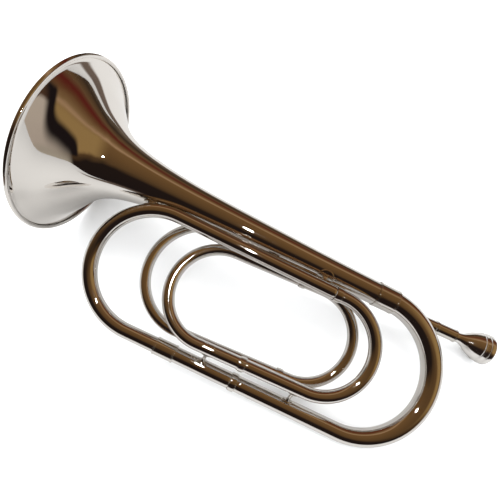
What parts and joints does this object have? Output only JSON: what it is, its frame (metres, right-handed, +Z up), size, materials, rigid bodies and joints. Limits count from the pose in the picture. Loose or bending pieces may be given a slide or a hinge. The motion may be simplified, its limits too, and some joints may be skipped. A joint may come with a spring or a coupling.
{
  "type": "bugle",
  "caption": "Coiled natural bugle with a wide flared bell, conical tube bent into stacked long loops, ferruled joints, spool braces and a removable cup mouthpiece",
  "frame": {"origin": "middle of the overall box, on the surface the bugle lies on", "axes": "+X along the instrument from the bell mouth to the mouthpiece, +Y across the coil towards the bell's side, +Z up off the surface it lies on"},
  "size_m": [0.4002, 0.1908, 0.1499],
  "materials": {
    "bell_nickel": "mirror-polished nickel plate over sheet brass",
    "tube_nickel": "mirror-polished nickel plate over drawn brass tube",
    "ferrule_nickel": "mirror-polished nickel plate on turned sleeves and rings",
    "brace_nickel": "polished nickel plate on cast braces",
    "mouthpiece_nickel": "mirror-polished silver-white plate on turned brass",
    "rim_wire": "bare steel wire hidden in the curled edge"
  },
  "bodies": {
    "horn": {"back_ring": "ferrule_nickel", "bell": "bell_nickel", "bell_bow": "tube_nickel", "bell_brace": "brace_nickel", "bell_ferrule": "ferrule_nickel", "bell_rim_wire": "rim_wire", "bell_saddle": "brace_nickel", "bottom_ferrule": "ferrule_nickel", "bottom_ring": "ferrule_nickel", "bottom_tube": "tube_nickel", "front_ring": "ferrule_nickel", "lead_ring": "ferrule_nickel", "leadpipe": "tube_nickel", "leadpipe_brace": "brace_nickel", "left_back_bow": "tube_nickel", "left_inner_bow": "tube_nickel", "left_outer_bow": "tube_nickel", "left_post": "brace_nickel", "lower_layer_brace": "brace_nickel", "receiver": "ferrule_nickel", "right_inner_bow": "tube_nickel", "right_middle_bow": "tube_nickel", "right_post": "brace_nickel", "top_ring": "ferrule_nickel", "upper_inner_ring": "ferrule_nickel", "upper_layer_brace": "brace_nickel"},
    "mouthpiece": {"mouthpiece": "mouthpiece_nickel"}
  },
  "joints": [
    {"name": "mouthpiece_pull", "type": "slide", "parent": "horn", "child": "mouthpiece", "axis": [0.9939, 0.0431, -0.1014], "range_m": [0, 0.03]}
  ]
}
